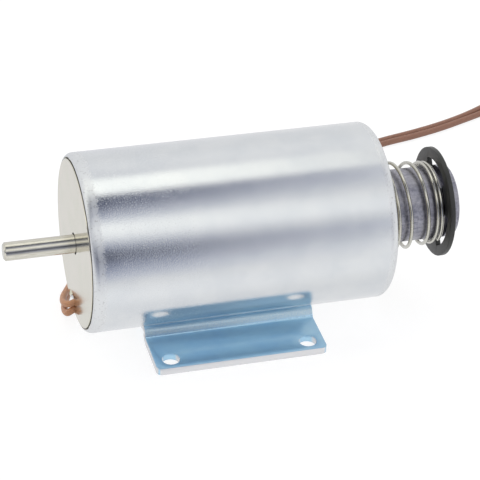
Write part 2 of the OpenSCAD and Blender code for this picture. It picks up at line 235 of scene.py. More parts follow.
# %% [markdown]
# Two leads leave the coil through a notch at the bottom of the front disc, loop over the rolled
# rim and run back along the floor. A lead is a plastic tube over fine wire: it keeps its length
# and bends in smooth curves. The route is a list of points, in millimetres, that a Catmull-Rom
# curve passes through, and a ring of points is carried along it.

# %% The routes of the leads
LEAD_A = [(-26, -4.95, 10.8), (-26, -4.2, 10.8), (-26.2, -2.6, 10.3), (-26.6, -0.8, 8.6),
    (-27.5, 1.3, 6.7), (-29.2, 1.1, 6.25), (-31.2, 0.9, 6.05), (-32.6, 1, 5.5), (-33.3, 1.9, 5),
    (-33.6, 3.4, 4.4), (-33.4, 5.2, 3.9), (-32.9, 7, 3.5), (-32.1, 8.8, 3.1), (-30.8, 11.4, 2.6),
    (-28.7, 14.8, 2), (-25.6, 19, 1.3), (-21.4, 23.4, 0.75), (-15, 27.6, 0.75), (-6, 31.6, 0.75),
    (6, 35.9, 0.75), (18, 40.4, 0.75), (30, 46, 0.75), (42, 51.6, 0.75), (51, 55.5, 0.75),
    (58, 57.8, 0.75), (66, 59.6, 0.75), (74, 61.9, 0.75), (82, 64.9, 0.75), (90, 68, 0.75),
    (100, 71.1, 0.75), (112, 73.1, 0.75), (124, 72.9, 0.75), (135, 70, 0.75), (145, 65, 0.75)]
LEAD_B = [(-26, 4.95, 10.8), (-26, 4.2, 10.75), (-26.05, 3.5, 10.2), (-26.2, 3.1, 9.2),
    (-26.6, 2.8, 7.5), (-27.5, 2.4, 5.2), (-29.2, 1.3, 4.5), (-31.2, 0.8, 4.4), (-32.6, 0.7, 3.8),
    (-33.2, 1.3, 3), (-33.4, 2.8, 2.4), (-33.2, 4.8, 1.9), (-32.7, 6.8, 1.5), (-31.9, 9.2, 1.1),
    (-30.6, 13, 0.75), (-28.9, 17.2, 0.75), (-26, 22.2, 0.75), (-21.8, 27, 0.75), (-15, 31, 0.75),
    (-6, 34.4, 0.75), (6, 38.2, 0.75), (18, 42.5, 0.75), (30, 47.8, 0.75), (42, 53.3, 0.75),
    (51, 57.1, 0.75), (58, 59.3, 0.75), (66, 61.2, 0.75), (74, 63.5, 0.75), (82, 66.6, 0.75),
    (90, 70.7, 0.75), (99, 75.7, 0.75), (110, 80.8, 0.75), (122, 83.8, 0.75), (134, 83.6, 0.75),
    (145, 80.6, 0.75)]
LEAD_D = 1.5 * MM
LEAD_SIDES = 20
BETWEEN = 6


def smooth_route(route):
    """The route in metres, with BETWEEN smooth steps from each point to the next."""
    p = [Vector(q) * MM for q in route]
    ends = [p[0] * 2 - p[1]] + p + [p[-1] * 2 - p[-2]]
    result = []
    for i in range(1, len(p)):
        a, b, c, d = ends[i - 1:i + 3]
        for k in range(BETWEEN):
            t = k / BETWEEN
            result.append(0.5 * (2 * b + (c - a) * t + (2 * a - 5 * b + 4 * c - d) * t * t
                                 + (3 * b - a - 3 * c + d) * t ** 3))
    return result + [p[-1]]


def length_of(path):
    return sum((b - a).length for a, b in zip(path, path[1:]))


def swept(name, path, diameter, sides=LEAD_SIDES):
    side = Vector((0, 0, 1)).cross(path[1] - path[0]).normalized()
    points, n = [], len(path)
    for i, centre in enumerate(path):
        ahead = (path[min(i + 1, n - 1)] - path[max(i - 1, 0)]).normalized()
        side = (side - ahead * side.dot(ahead)).normalized()
        other = ahead.cross(side)
        for k in range(sides):
            a = 2 * math.pi * k / sides
            points.append(centre + (side * math.cos(a) + other * math.sin(a)) * diameter / 2)
    faces = [tuple(range(sides)), tuple((n - 1) * sides + k for k in range(sides))]
    for i in range(n - 1):
        for k in range(sides):
            a, b = i * sides + k, i * sides + (k + 1) % sides
            faces.append((a, b, b + sides, a + sides))
    return piece_from(name, points, faces)


paths = {"lead_a": smooth_route(LEAD_A), "lead_b": smooth_route(LEAD_B)}
leads = {name: swept(name + "_insulation", path, LEAD_D) for name, path in paths.items()}
for name, path in paths.items():
    print(name, "is", round(length_of(path), 4), "m long")

# %% [markdown]
# Both materials and Geometry Nodes are trees of small boxes joined by wires. Writing them box by
# box hides the idea, so one small class wraps a wire's end, and Python's own arithmetic adds the
# Math nodes. Any other node comes from one method: its type, its settings, then its sockets.

# %% Node trees as arithmetic
class Wire:
    """The output of a node, which arithmetic can build on."""

    def __init__(self, sheet, socket):
        self.sheet, self.socket = sheet, socket

    def maths(self, operation, *values, **settings):
        sockets = dict(enumerate(values))
        return self.sheet.add("ShaderNodeMath", {"operation": operation, **settings}, sockets)

    def __add__(self, other): return self.maths("ADD", self, other)
    def __radd__(self, other): return self.maths("ADD", other, self)
    def __sub__(self, other): return self.maths("SUBTRACT", self, other)
    def __rsub__(self, other): return self.maths("SUBTRACT", other, self)
    def __mul__(self, other): return self.maths("MULTIPLY", self, other)
    def __truediv__(self, other): return self.maths("DIVIDE", self, other)
    def __neg__(self): return self.maths("MULTIPLY", self, -1)
    def __abs__(self): return self.maths("ABSOLUTE", self)

    def step(self, start, end, low=0, high=1):
        """A smooth step from low to high as the value goes from start to end."""
        return self.sheet.add("ShaderNodeMapRange", {"interpolation_type": "SMOOTHSTEP"},
            {0: self, 1: start, 2: end, 3: low, 4: high})

    def ramp(self, stops):
        return self.sheet.add("ShaderNodeValToRGB", {"stops": stops}, {0: self})


class Sheet:
    """A node tree being drawn."""

    def __init__(self, tree):
        self.tree = tree
        self.tree.nodes.clear()

    def add(self, kind, settings=None, sockets=None, out=0):
        node = self.tree.nodes.new(kind)
        for key, value in (settings or {}).items():
            if key == "stops":
                self.set_stops(node.color_ramp, value)
            elif key == "knots":
                self.set_knots(node.mapping, value)
            else:
                setattr(node, key, value)
        for key, value in (sockets or {}).items():
            self.join(node.inputs[key], value)
        return Wire(self, node.outputs[out]) if len(node.outputs) else node

    def join(self, socket, value):
        if isinstance(value, Wire):
            self.tree.links.new(value.socket, socket)
        elif isinstance(value, (tuple, list)) and len(value) == 3 and socket.type == "RGBA":
            socket.default_value = (*value, 1)
        else:
            socket.default_value = value

    @staticmethod
    def set_stops(ramp, stops):
        while len(ramp.elements) > 1:
            ramp.elements.remove(ramp.elements[-1])
        for i, (place, colour) in enumerate(stops):
            element = ramp.elements.new(place) if i else ramp.elements[0]
            element.position = place
            element.color = (*colour, 1)

    @staticmethod
    def set_knots(mapping, knots):
        curve = mapping.curves[0]
        for place, height in knots[1:-1]:
            curve.points.new(place, height)
        curve.points[0].location, curve.points[-1].location = knots[0], knots[-1]
        mapping.update()

    def blend(self, factor, first, second, how="MIX"):
        """A Mix node for colours."""
        settings = {"data_type": "RGBA", "blend_type": how, "clamp_factor": True}
        return self.add("ShaderNodeMix", settings, {0: factor, 6: first, 7: second}, out=2)


# %% [markdown]
# Every finish is a Principled BSDF fed by object coordinates, so that a pattern stays on its
# piece when the piece moves. Noise gives mottling and grain; a bump turns grain into relief.
# Lengths inside a pattern are given in metres, so a noise with features of size s has scale 1/s.

# %% Helpers for finishes
class Finish(Sheet):
    def __init__(self, name):
        self.material = bpy.data.materials.new(name)
        self.material.use_nodes = True
        super().__init__(self.material.node_tree)
        self.at = self.add("ShaderNodeTexCoord", out="Object")

    def noise(self, size, detail=2, rough=0.5, stretch=None):
        at = self.at
        if stretch:
            at = self.add("ShaderNodeVectorMath", {"operation": "MULTIPLY"}, {0: at, 1: stretch})
        sockets = {"Vector": at, "Scale": 1 / size, "Detail": detail, "Roughness": rough}
        return self.add("ShaderNodeTexNoise", None, sockets)

    def place(self, axis):
        return self.add("ShaderNodeSeparateXYZ", None, {0: self.at}, out="XYZ".index(axis))

    def facing(self, axis):
        normal = self.add("ShaderNodeTexCoord", out="Normal")
        return self.add("ShaderNodeSeparateXYZ", None, {0: normal}, out="XYZ".index(axis))

    def relief(self, height, depth, strength=1.0):
        """A bump whose full height is depth metres."""
        sockets = {"Strength": strength, "Distance": depth, "Height": height}
        return self.add("ShaderNodeBump", None, sockets)

    def done(self, colour, roughness, metallic=0.0, relief=None, **extra):
        sockets = {"Base Color": colour, "Roughness": roughness, "Metallic": metallic, **extra}
        if relief:
            sockets["Normal"] = relief
        shader = self.add("ShaderNodeBsdfPrincipled", None, sockets)
        self.add("ShaderNodeOutputMaterial", None, {0: shader})
        return self.material


def dressed(piece, material):
    piece.data.materials.clear()
    piece.data.materials.append(material)
    return piece


# %% [markdown]
# The casing is steel tube plated with bright zinc. The plating is a mirror with a fine grain: in
# a reflection's dark parts, tiny tilted facets catch the light and sparkle, less so towards the
# rear. Where the ends were rolled in, the plating is frosted, with a ragged border and a few dark
# pits. The frost at the rear is narrower.

# %% Casing zinc
FROST_FULL, FROST_NONE, FROST_RAGGED = 3.8 * MM, 5.0 * MM, 2.4 * MM
REAR_NARROWER = 1.8
SPARKLE_LEFT, SPARKLE_RIGHT = -30 * MM, 25 * MM


def casing_zinc():
    f = Finish("casing_zinc")
    x = f.place("X")
    from_front, from_rear = x - FRONT_X, (REAR_X - x) * REAR_NARROWER
    from_end = x.maths("MINIMUM", from_front, from_rear)
    ragged = f.noise(0.9 * MM, 4, 0.7)
    frost = (from_end + ragged * FROST_RAGGED).step(FROST_FULL, FROST_NONE, 1, 0)
    grain = f.noise(0.20 * MM, 2, 0.6)
    speck = f.noise(0.26 * MM, 3, 0.7).step(0.54, 0.66)
    speck = speck * x.step(SPARKLE_LEFT, SPARKLE_RIGHT, 1, 0.5)
    clouds = f.noise(7 * MM, 3, 0.55)
    pits = f.noise(0.36 * MM, 1).step(0.62, 0.70) * frost * 0.35
    colour = f.blend(clouds.step(0.3, 0.7), (0.655, 0.680, 0.710), (0.70, 0.72, 0.74))
    colour = f.blend(frost * 0.5, colour, (0.78, 0.79, 0.795))
    colour = f.blend(speck * 0.25, colour, (0.80, 0.81, 0.82))
    colour = f.blend(pits, colour, (0.22, 0.21, 0.20))
    relief = f.relief(grain, 0.016 * MM)
    roughness = 0.11 + frost * 0.22 + speck * 0.20
    return f.done(colour, roughness, 1.0, relief)


# %% [markdown]
# The foot has a blue passivated zinc. Its flats are a clear blue; the bends and the webs are
# painted paler, a painted reflection of the white floor, and the sheared edges show lighter steel.

# %% Foot zinc
foot_lo, foot_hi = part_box("foot_bracket")
FOOT_T = 1.6 * MM


def foot_zinc():
    f = Finish("foot_zinc")
    x, y, z = f.place("X"), abs(f.place("Y")), f.place("Z")
    grain = f.noise(0.22 * MM, 2, 0.6)
    clouds = f.noise(5 * MM, 3, 0.55)
    web = z.step(FOOT_T + 0.1 * MM, FOOT_T + 0.9 * MM)
    level = abs(f.facing("Z"))
    edge_x = abs(f.facing("X")).step(0.6, 0.9)
    rim_y = y.step(foot_hi.y - 0.4 * MM, foot_hi.y - 0.1 * MM)
    edge_y = abs(f.facing("Y")).step(0.75, 0.95) * rim_y
    blue = f.blend(clouds.step(0.3, 0.7), (0.46, 0.74, 0.97), (0.52, 0.80, 0.99))
    # Steep faces of the bends and webs are painted paler: a painted reflection of the white floor.
    painted_reflection_pale = f.blend(grain.step(0.35, 0.65), (0.52, 0.72, 0.86), (0.70, 0.84, 0.91))
    colour = f.blend(web * level.step(0.9, 0.6), blue, painted_reflection_pale)
    colour = f.blend(edge_x + edge_y, colour, (0.86, 0.86, 0.87))
    relief = f.relief(grain, 0.010 * MM)
    return f.done(colour, 0.20 + web * 0.14 + grain * 0.08, 0.5, relief)


# %% [markdown]
# The end discs are flat ground steel under a warm, smooth plate: almost a mirror, with faint
# clouds. The rod is ground and polished, so its scratches run round it and its streaks along it.

# %% Discs and rod
def disc_plate():
    f = Finish("disc_plate")
    clouds = f.noise(6 * MM, 3, 0.5)
    haze = f.noise(0.3 * MM, 2, 0.5)
    colour = f.blend(clouds.step(0.3, 0.7), (0.620, 0.600, 0.490), (0.670, 0.632, 0.540))
    return f.done(colour, 0.10 + clouds * 0.08, 1.0, f.relief(haze, 0.002 * MM))


def rod_steel():
    f = Finish("rod_steel")
    streaks = f.noise(0.18 * MM, 3, 0.6, (0.06, 1, 1))
    rings = f.noise(0.12 * MM, 2, 0.5, (1, 0.15, 0.15))
    colour = f.blend(streaks.step(0.3, 0.7), (0.56, 0.54, 0.47), (0.68, 0.66, 0.60))
    return f.done(colour, 0.16 + rings * 0.12, 1.0, f.relief(rings, 0.0015 * MM))


# %% [markdown]
# The plunger's surface is phosphated and worn: a mottled grey with a violet cast, and fine
# scratches along it from sliding. The retaining ring is blackened and oiled. The spring is drawn
# wire with a fine mottle.

# %% Plunger, ring and spring
def plunger_steel():
    f = Finish("plunger_steel")
    mottle = f.noise(0.8 * MM, 4, 0.65)
    clouds = f.noise(4 * MM, 2, 0.5)
    scratches = f.noise(0.15 * MM, 2, 0.5, (0.04, 1, 1)).step(0.60, 0.72)
    colour = f.blend(mottle.step(0.35, 0.65), (0.20, 0.20, 0.245), (0.36, 0.36, 0.42))
    colour = f.blend(clouds.step(0.35, 0.7) * 0.4, colour, (0.48, 0.47, 0.50))
    colour = f.blend(scratches * 0.5, colour, (0.55, 0.54, 0.56))
    return f.done(colour, 0.30 + mottle * 0.15, 0.9, f.relief(mottle, 0.006 * MM))


def ring_black():
    f = Finish("ring_black")
    mottle = f.noise(0.6 * MM, 3, 0.6)
    worn = f.noise(1.4 * MM, 4, 0.7).step(0.60, 0.72)
    colour = f.blend(mottle, (0.026, 0.027, 0.026), (0.052, 0.052, 0.049))
    colour = f.blend(worn * 0.4, colour, (0.09, 0.09, 0.085))
    return f.done(colour, 0.30 + mottle * 0.2, 0.3, f.relief(mottle, 0.004 * MM))


def spring_wire():
    f = Finish("spring_wire")
    mottle = f.noise(0.5 * MM, 3, 0.6)
    colour = f.blend(mottle, (0.47, 0.46, 0.41), (0.64, 0.63, 0.58))
    return f.done(colour, 0.14 + mottle * 0.08, 1.0, f.relief(mottle, 0.001 * MM))


# %% [markdown]
# The leads have a brown fluoropolymer skin, which is smooth and a little waxy; along the run behind
# and past the body the brown is painted darker, as painted shade. Their bare ends are tinned
# copper.
# The parts inside the casing are seldom seen, yet each has its own finish: moulded nylon, enamelled
# copper in rows with painted shade in the grooves, yellow tape, grey fibre, brass, bronze and soft
# iron.

# %% Leads and inner parts
def lead_brown():
    f = Finish("lead_brown")
    clouds = f.noise(3 * MM, 3, 0.6)
    fine = f.noise(0.3 * MM, 2, 0.5)
    # Towards +X the lead is painted darker: painted shade on the run behind and past the body.
    painted_shade_share = f.place("X").step(-20 * MM, 40 * MM)
    lit_brown = f.blend(clouds, (0.55, 0.25, 0.125), (0.66, 0.33, 0.170))
    shaded_brown = f.blend(clouds, (0.27, 0.125, 0.080), (0.36, 0.175, 0.115))
    colour = f.blend(painted_shade_share, lit_brown, shaded_brown)
    return f.done(colour, 0.30 + fine * 0.15, 0.0, f.relief(fine, 0.004 * MM))


def grained(name, dark, light, size, roughness, metallic, depth, stretch=None):
    """A plain finish of two close colours under a fine grain."""
    f = Finish(name)
    grain = f.noise(size, 3, 0.6, stretch)
    colour = f.blend(grain.step(0.3, 0.7), dark, light)
    return f.done(colour, roughness + grain * 0.15, metallic, f.relief(grain, depth))


def winding_copper():
    f = Finish("winding_copper")
    rows = f.add("ShaderNodeTexWave", {"wave_type": "BANDS", "bands_direction": "X",
        "wave_profile": "SIN"}, {"Vector": f.at, "Scale": 3140, "Distortion": 0.0})
    # Copper rows, painted darker in the grooves between turns: painted shade in the grooves.
    copper_and_groove_shade = f.blend(rows, (0.16, 0.045, 0.015), (0.50, 0.17, 0.06))
    return f.done(copper_and_groove_shade, 0.25, 0.6, f.relief(rows, 0.10 * MM))


FINISHES = {
    "casing_zinc": casing_zinc(), "foot_zinc": foot_zinc(), "disc_plate": disc_plate(),
    "rod_steel": rod_steel(), "plunger_steel": plunger_steel(), "ring_black": ring_black(),
    "spring_wire": spring_wire(), "lead_brown": lead_brown(), "winding_copper": winding_copper(),
    "core_steel": grained("core_steel", (0.26, 0.26, 0.27), (0.36, 0.36, 0.37),
        0.2 * MM, 0.30, 1.0, 0.003 * MM, (1, 0.1, 0.1)),
    "tinned_copper": grained("tinned_copper", (0.55, 0.54, 0.50), (0.70, 0.69, 0.66),
        0.3 * MM, 0.20, 1.0, 0.004 * MM),
    "bush_bronze": grained("bush_bronze", (0.32, 0.17, 0.06), (0.46, 0.26, 0.10),
        0.25 * MM, 0.45, 0.9, 0.010 * MM),
    "guide_brass": grained("guide_brass", (0.60, 0.42, 0.16), (0.72, 0.54, 0.24),
        0.25 * MM, 0.22, 1.0, 0.003 * MM, (0.1, 1, 1)),
    "bobbin_plastic": grained("bobbin_plastic", (0.66, 0.63, 0.52), (0.76, 0.73, 0.63),
        0.5 * MM, 0.45, 0.0, 0.005 * MM),
    "tape_yellow": grained("tape_yellow", (0.60, 0.42, 0.06), (0.72, 0.54, 0.10),
        1.5 * MM, 0.25, 0.0, 0.010 * MM),
    "fibre_grey": grained("fibre_grey", (0.035, 0.035, 0.035), (0.075, 0.072, 0.07),
        0.4 * MM, 0.60, 0.0, 0.020 * MM),
    "sleeve_white": grained("sleeve_white", (0.62, 0.62, 0.60), (0.72, 0.72, 0.70),
        0.6 * MM, 0.45, 0.0, 0.008 * MM),
}
SLOT_OF = {part["node"]: part["material_slot"] for part in frame["record"]["subparts"]}
for node_name, node_piece in frame["nodes"].items():
    dressed(node_piece, FINISHES[SLOT_OF[node_name]])
print("finishes:", len(FINISHES))

# %% [markdown]
# One function now settles every replacement: which finish and slot it has, which CAD node it
# stands for, and which body it rides on.

# %% Settle a piece
BODY_OF = {node: body.replace("body:", "") for body, empty in frame["bodies"].items()
           for node in [child.name for child in empty.children]}


def settle(piece, node):
    dressed(piece, FINISHES[SLOT_OF[node]])
    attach(piece, BODY_OF[node])
    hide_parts(node)
    print(piece.name, "stands for", node, "with", len(piece.data.polygons), "faces")
    return piece


# %% [markdown]
# The casing is a tube whose ends are rolled inwards over the discs. Its outline goes once round
# the wall: along the outside, over the bend, back along the bore and over the other bend.
# A notch in the front rim lets the leads out.

# %% The casing
WALL = 1.2 * MM
RIM_IN = 0.4 * MM
RIM_ANGLE = 60
rim_r = RIM_IN + WALL
rim_run = rim_r * math.sin(math.radians(RIM_ANGLE))
# The front rim stops a little short, so that the disc's raised face stands flush with it.
RIM_EASE = 0.65 * MM
SOFT_EDGE = 0.12 * MM
OUTER_STEPS, INNER_STEPS, SPANS, CASING_STEPS = 14, 8, 12, 256
front_bend = (TUBE_R - rim_r, FRONT_X + RIM_EASE + rim_run)
rear_bend = (TUBE_R - rim_r, REAR_X - rim_run)


def wall_outline():
    outline = arc(rear_bend, rim_r, 0, RIM_ANGLE, OUTER_STEPS)
    outline += arc(rear_bend, RIM_IN, RIM_ANGLE, 0, INNER_STEPS)
    outline += arc(front_bend, RIM_IN, 0, -RIM_ANGLE, INNER_STEPS)
    outline += arc(front_bend, rim_r, -RIM_ANGLE, 0, OUTER_STEPS)
    straight = rear_bend[1] - front_bend[1]
    outline += [(TUBE_R, front_bend[1] + straight * k / SPANS) for k in range(1, SPANS)]
    return rounded(outline, SOFT_EDGE)


OUTLET_Y, OUTLET_DROP, OUTLET_W, OUTLET_DEPTH = 2.6 * MM, 17 * MM, 5.6 * MM, 1.8 * MM
OUTLET_FOOT = -5 * MM


def outlet(start, end):
    """The U shaped way out for the leads, as a cutter from start to end along the axis."""
    half = OUTLET_W / 2
    shape = arc((OUTLET_Y, AXIS_Z - OUTLET_DROP), half, 0, 180, 24)
    shape += [(OUTLET_Y - half, OUTLET_FOOT), (OUTLET_Y + half, OUTLET_FOOT)]
    return pressed("outlet", shape, lambda y, z: Vector((start, y, z)), Vector((end - start, 0, 0)))


casing = turned("casing_shell", wall_outline(), CASING_STEPS)
cut(casing, outlet(FRONT_X - MM, FRONT_X + OUTLET_DEPTH))
settle(casing, "casing_tube")

# %% [markdown]
# The two end discs are pressed against the coil and held by the rims. The front disc has a raised
# face that fills the rim's mouth, so only a thin dark line shows round it, and it has the same
# notch as the rim. The rear disc lies deeper, where the spring rests on it.

# %% The end discs
rod_lo, rod_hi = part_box("push_rod")
guide_lo, guide_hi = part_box("guide_tube")
front_lo, front_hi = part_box("front_disc")
rear_lo, rear_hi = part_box("rear_disc")
ROD_R = (rod_hi.z - rod_lo.z) / 2
GUIDE_R = (guide_hi.z - guide_lo.z) / 2
ROD_GAP, GUIDE_GAP = 0.35 * MM, 0.02 * MM
FACE_R, FACE_X, FACE_EDGE = 17.85 * MM, FRONT_X + 0.45 * MM, 0.12 * MM
SHOULDER, TAPER = 0.35 * MM, 0.35 * MM
DISC_CHAMFER, DISC_SOFT = 0.4 * MM, 0.1 * MM


def front_outline():
    hole_r, outer = ROD_R + ROD_GAP, (front_hi.z - front_lo.z) / 2
    return [(hole_r, FACE_X), (FACE_R - FACE_EDGE, FACE_X), (FACE_R, FACE_X + FACE_EDGE),
        (FACE_R - TAPER, front_lo.x + SHOULDER), (outer, front_lo.x + SHOULDER),
        (outer, front_hi.x), (hole_r, front_hi.x)]


def rear_outline():
    hole_r, outer = GUIDE_R + GUIDE_GAP, (rear_hi.z - rear_lo.z) / 2
    return rounded([(hole_r, rear_lo.x), (outer, rear_lo.x), (outer, rear_hi.x - DISC_CHAMFER),
        (outer - DISC_CHAMFER, rear_hi.x), (hole_r, rear_hi.x)], DISC_SOFT)


front_disc = turned("front_plate", front_outline())
cut(front_disc, outlet(front_lo.x - 2 * MM, front_hi.x + MM))
settle(front_disc, "front_disc")
rear_disc = turned("rear_plate", rear_outline())
settle(rear_disc, "rear_disc")

# %% [markdown]
# The foot is one sheet. Its middle follows the tube as a saddle and is welded to it; on each side
# the sheet turns over a ridge, goes down a web and turns out into a flange. The section is worked
# out from the tube and the sheet's thickness, then pressed along the axis. Two more shapes cut
# the corners round and drill the holes.

# %% The foot
WEB_Y, WEB_ANGLE = 9.5 * MM, 68
RIDGE_IN, HEEL_IN = 0.4 * MM, 0.6 * MM
HOLE_R, HOLE_END, HOLE_EDGE, CORNER = 1.9 * MM, 3.6 * MM, 3.1 * MM, 1.2 * MM
UNDER, PLAN_HIGH, DRILL_HIGH = MM, 20 * MM, 4 * MM
BEND_STEPS, SADDLE_STEPS = 12, 32


def foot_section():
    """Outline in (y, z): the near half is worked out, the far half is its mirror image."""
    lean = math.radians(WEB_ANGLE)
    ridge_r, heel_r = RIDGE_IN + FOOT_T, HEEL_IN + FOOT_T
    out = Vector((-math.sin(lean), math.cos(lean)))
    down = Vector((math.cos(lean), math.sin(lean)))
    root = Vector((-WEB_Y, FOOT_T))
    start = root - out * ridge_r - Vector((0, AXIS_Z))
    along = start.dot(down)
    gap = start.dot(start) - (TUBE_R + ridge_r) ** 2
    ridge = root - out * ridge_r + down * (-along - math.sqrt(along ** 2 - gap))
    heel = root + HEEL_IN * Vector((-math.tan(lean / 2), 1))
    towards = (ridge - Vector((0, AXIS_Z))).normalized()
    tilt = math.degrees(math.atan2(-towards.x, -towards.y))
    upper = [(foot_lo.y, 0), (foot_lo.y, FOOT_T)]
    upper += arc(heel, HEEL_IN, -90, WEB_ANGLE - 90, BEND_STEPS)
    upper += arc(ridge, ridge_r, 90 + WEB_ANGLE, 90 - tilt, BEND_STEPS)
    lower = arc(ridge, RIDGE_IN, 90 - tilt, 90 + WEB_ANGLE, BEND_STEPS)
    lower += arc(heel, heel_r, WEB_ANGLE - 90, -90, BEND_STEPS)

    def flip(side):
        return [(-y, z) for y, z in reversed(side)]

    middle, start, end = (0, AXIS_Z), 271 - tilt, 269 + tilt
    saddle = arc(middle, TUBE_R, start, end, SADDLE_STEPS)
    under = arc(middle, TUBE_R + FOOT_T, end, start, SADDLE_STEPS)
    return upper + saddle + flip(upper) + flip(lower) + under + lower


def from_below(x, y):
    """The place of a plan's point, a little under the floor, where a cutter starts."""
    return Vector((x, y, -UNDER))


def foot_piece():
    length = foot_hi.x - foot_lo.x
    foot = pressed("foot_plate", foot_section(), lambda y, z: Vector((foot_lo.x, y, z)),
        Vector((length, 0, 0)))
    ends = (foot_lo.x + CORNER, foot_hi.x - CORNER), (foot_lo.y + CORNER, foot_hi.y - CORNER)
    plan = [p for x, y, turn in ((1, 1, 0), (0, 1, 90), (0, 0, 180), (1, 0, 270))
            for p in arc((ends[0][x], ends[1][y]), CORNER, turn, turn + 90, 8)]
    cut(foot, pressed("plan", plan, from_below, Vector((0, 0, PLAN_HIGH))), "INTERSECT")
    for x in (foot_lo.x + HOLE_END, foot_hi.x - HOLE_END):
        for y in (foot_lo.y + HOLE_EDGE, foot_hi.y - HOLE_EDGE):
            hole = arc((x, y), HOLE_R, 0, 360, 64)[:-1]
            cut(foot, pressed("hole", hole, from_below, Vector((0, 0, DRILL_HIGH))))
    return softened(foot, SOFT_EDGE)


settle(foot_piece(), "foot_bracket")

# %% [markdown]
# The plunger is a turned bar with a rounded end, a groove for the ring, a cone that fits the pole
# piece and a tapped hole in its outer end. The rod is pressed into the cone's nose.

# %% Plunger and rod
plunger_lo, plunger_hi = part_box("plunger")
PLUNGER_R = (plunger_hi.z - plunger_lo.z) / 2
ring_lo, ring_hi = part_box("retaining_ring")
SIDE_GAP = 0.05 * MM
GROOVE_R = 6.16 * MM
NOSE_R, CONE_L = 4.5 * MM, 5 * MM
TAP_R, THREAD_R, TAP_DEPTH, DRILL_TIP = 2.1 * MM, 2.48 * MM, 10 * MM, 1.2 * MM
MOUTH_WIDE, MOUTH_DEEP = 0.3 * MM, 0.4 * MM
PLUNGER_EDGE, PLUNGER_SOFT = 0.8 * MM, 0.1 * MM
ROD_CHAMFER, ROD_SOFT, ROD_STEPS = 0.4 * MM, 0.08 * MM, 96


def plunger_outline():
    end, e = plunger_hi.x, PLUNGER_EDGE
    outline = [(0, plunger_lo.x), (NOSE_R, plunger_lo.x), (PLUNGER_R, plunger_lo.x + CONE_L),
        (PLUNGER_R, ring_lo.x - SIDE_GAP), (GROOVE_R, ring_lo.x - SIDE_GAP),
        (GROOVE_R, ring_hi.x + SIDE_GAP), (PLUNGER_R, ring_hi.x + SIDE_GAP)]
    outline += arc((PLUNGER_R - e, end - e), e, 0, 90, 10)
    outline += [(THREAD_R + MOUTH_WIDE, end), (THREAD_R, end - MOUTH_DEEP),
        (THREAD_R, end - TAP_DEPTH), (0, end - TAP_DEPTH - DRILL_TIP)]
    return rounded(outline, PLUNGER_SOFT)


def rod_outline():
    c = ROD_CHAMFER
    return rounded([(0, rod_lo.x), (ROD_R - c, rod_lo.x), (ROD_R, rod_lo.x + c),
        (ROD_R, rod_hi.x - c), (ROD_R - c, rod_hi.x), (0, rod_hi.x)], ROD_SOFT)


settle(turned("plunger_bar", plunger_outline()), "plunger")
settle(turned("push_rod_bar", rod_outline(), ROD_STEPS), "push_rod")

# %% [markdown]
# The retaining ring is stamped from spring steel. It has three lugs that grip the groove, two
# pockets between them and an opening to push it on through. Stamping leaves soft edges.

# %% The retaining ring
RING_R = 11.95 * MM
POCKET_R, LUG_R = 9.7 * MM, 6.24 * MM
MID_LUG, END_LUG, ARM_END = 22, 90, 132
RING_TURN = 58
STAMPED, STAMPED_CORNER = 0.16 * MM, 0.9 * MM


def ring_outline():
    flat = arc((0, 0), RING_R, -ARM_END, ARM_END, 96)
    inner = [(LUG_R, ARM_END, END_LUG), (POCKET_R, END_LUG, MID_LUG), (LUG_R, MID_LUG, -MID_LUG),
        (POCKET_R, -MID_LUG, -END_LUG), (LUG_R, -END_LUG, -ARM_END)]
    for radius, start, end in inner:
        flat += arc((0, 0), radius, start, end, 16)
    return rounded(flat, STAMPED_CORNER, 6)


def ring_place(u, v):
    """Turns the outline's first axis to the middle lug's direction."""
    c, s = math.cos(math.radians(RING_TURN)), math.sin(math.radians(RING_TURN))
    return Vector((ring_lo.x, -u * s - v * c, AXIS_Z + u * c - v * s))


ring = pressed("snap_ring", ring_outline(), ring_place, Vector((ring_hi.x - ring_lo.x, 0, 0)))
settle(softened(ring, STAMPED, 3), "retaining_ring")

# %% [markdown]
# The spring is a main piece whose shape follows a rule, so Geometry Nodes makes it. A line of
# points is bent into a helix: each point's place gives its angle, and a curve with a few knots
# gives how far along the axis it has come, because the coils aren't evenly open. A small circle
# is then carried along the line. The tool's sizes are named inputs.

